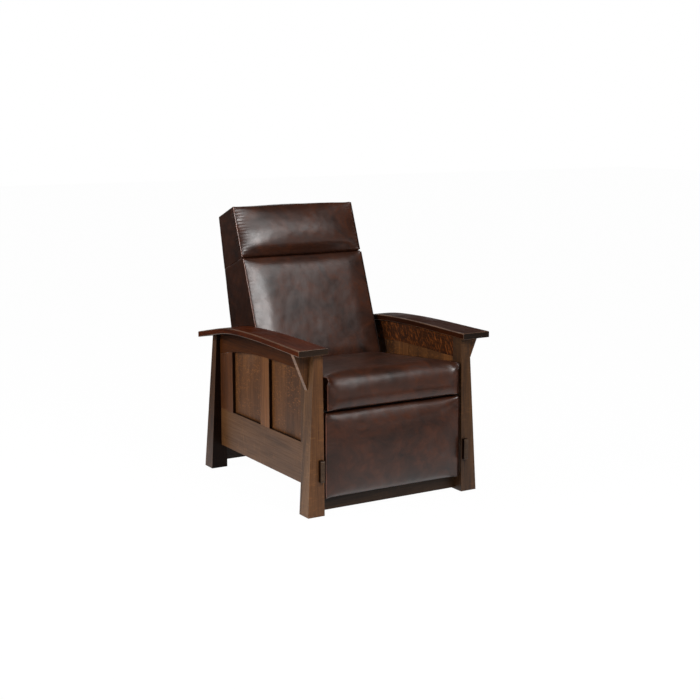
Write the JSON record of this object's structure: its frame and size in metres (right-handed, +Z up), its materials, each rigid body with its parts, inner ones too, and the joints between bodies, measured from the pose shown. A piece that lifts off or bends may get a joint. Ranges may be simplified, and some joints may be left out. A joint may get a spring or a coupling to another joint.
{
  "type": "push-back recliner",
  "caption": "Wooden push-back recliner with bowed arms, panelled sides, padded seat, head roll and a folding leg rest on steel links.",
  "frame": {"origin": "on the floor under the middle of the chair's box", "axes": "+Z up, -Y is the front, +X is to the right seen from the front"},
  "size_m": [0.84, 0.934, 1.0759],
  "materials": {
    "stained_oak": "dark stained quarter-sawn oak, satin lacquer",
    "inner_wood": "plain sawn hardwood and plywood, unfinished",
    "leather": "dark brown mottled leather with a soft gloss",
    "webbing": "woven elastic webbing",
    "mechanism_steel": "black painted pressed steel",
    "pin_steel": "zinc plated steel"
  },
  "bodies": {
    "base": {"front_post_right": "stained_oak", "front_post_left": "stained_oak", "rear_post_right": "stained_oak", "rear_post_left": "stained_oak", "arm_right": "stained_oak", "arm_left": "stained_oak", "corbel_right": "stained_oak", "corbel_left": "stained_oak", "top_rail_right": "stained_oak", "top_rail_left": "stained_oak", "bottom_rail_right": "stained_oak", "bottom_rail_left": "stained_oak", "stiles_right": "stained_oak", "stiles_left": "stained_oak", "side_panels_right": "stained_oak", "side_panels_left": "stained_oak", "base_front_rail": "stained_oak", "base_rear_rail": "stained_oak", "base_plate_right": "mechanism_steel", "base_plate_left": "mechanism_steel", "base_pins": "pin_steel", "base_screws": "pin_steel"},
    "front_swing": {"front_swing_arms": "mechanism_steel"},
    "rear_swing": {"rear_swing_arms": "mechanism_steel"},
    "seat": {"seat_plate_right": "mechanism_steel", "seat_plate_left": "mechanism_steel", "seat_pins": "pin_steel", "back_pins": "pin_steel", "seat_side_rails": "stained_oak", "seat_front_rail": "stained_oak", "seat_rear_rail": "stained_oak", "seat_screws": "pin_steel", "seat_straps": "webbing", "seat_cushion": "leather"},
    "back": {"back_board_right": "inner_wood", "back_board_left": "inner_wood", "back_bottom_rail": "inner_wood", "back_middle_rail": "inner_wood", "back_top_rail": "inner_wood", "back_straps": "webbing", "back_cushion": "leather", "head_cushion": "leather", "back_panel": "leather", "back_side_covers": "leather", "back_brackets": "mechanism_steel", "bracket_spacers": "pin_steel", "bracket_bolts": "pin_steel"},
    "carry": {"carry_arms": "mechanism_steel", "torque_tube": "mechanism_steel", "elbow_pins": "pin_steel"},
    "guide": {"guide_arms": "mechanism_steel", "guide_pins": "pin_steel"},
    "reach": {"reach_links": "mechanism_steel"},
    "control": {"control_links": "mechanism_steel"},
    "footrest": {"footrest_pins": "pin_steel", "footrest_board": "inner_wood", "footrest_pad": "leather", "footrest_brackets": "mechanism_steel"}
  },
  "joints": [
    {"name": "back_recline", "type": "hinge", "parent": "seat", "child": "back", "pos_m": [0, 0.103, 0.41], "axis": [-1, 0, 0], "range_deg": [0, 30]},
    {"name": "front_swing_pivot", "type": "hinge", "parent": "base", "child": "front_swing", "pos_m": [0, -0.3517, 0.21504], "axis": [-1, 0, 0], "range_deg": [-50, 0]},
    {"name": "seat_level", "type": "hinge", "parent": "front_swing", "child": "seat", "pos_m": [0, -0.30099, 0.3238], "axis": [-1, 0, 0], "range_deg": [0, 50]},
    {"name": "rear_swing_pivot", "type": "hinge", "parent": "base", "child": "rear_swing", "pos_m": [0, -0.0077, 0.21504], "axis": [-1, 0, 0], "range_deg": [-50, 0]},
    {"name": "carry_pivot", "type": "hinge", "parent": "seat", "child": "carry", "pos_m": [0, -0.197, 0.33], "axis": [-1, 0, 0], "range_deg": [0, 107]},
    {"name": "guide_pivot", "type": "hinge", "parent": "seat", "child": "guide", "pos_m": [0, -0.2645, 0.34853], "axis": [-1, 0, 0], "range_deg": [0, 107]},
    {"name": "elbow_pivot", "type": "hinge", "parent": "carry", "child": "reach", "pos_m": [0, -0.09395, 0.109], "axis": [-1, 0, 0], "range_deg": [-107, 0]},
    {"name": "control_pivot", "type": "hinge", "parent": "carry", "child": "control", "pos_m": [0, -0.05923, 0.13264], "axis": [-1, 0, 0], "range_deg": [-110.53, 0]},
    {"name": "footrest_pivot", "type": "hinge", "parent": "reach", "child": "footrest", "pos_m": [0, -0.389, 0.19], "axis": [-1, 0, 0], "range_deg": [0, 86]}
  ],
  "couplings": [
    {"joint": "front_swing_pivot", "follows": "back_recline", "ratio": -1.6667},
    {"joint": "seat_level", "follows": "back_recline", "ratio": 1.6667},
    {"joint": "rear_swing_pivot", "follows": "back_recline", "ratio": -1.6667},
    {"joint": "carry_pivot", "follows": "back_recline", "ratio": 3.5667},
    {"joint": "guide_pivot", "follows": "back_recline", "ratio": 3.5667},
    {"joint": "elbow_pivot", "follows": "back_recline", "ratio": -3.5667},
    {"joint": "control_pivot", "follows": "back_recline", "ratio": -3.6843},
    {"joint": "footrest_pivot", "follows": "back_recline", "ratio": 2.8667}
  ]
}
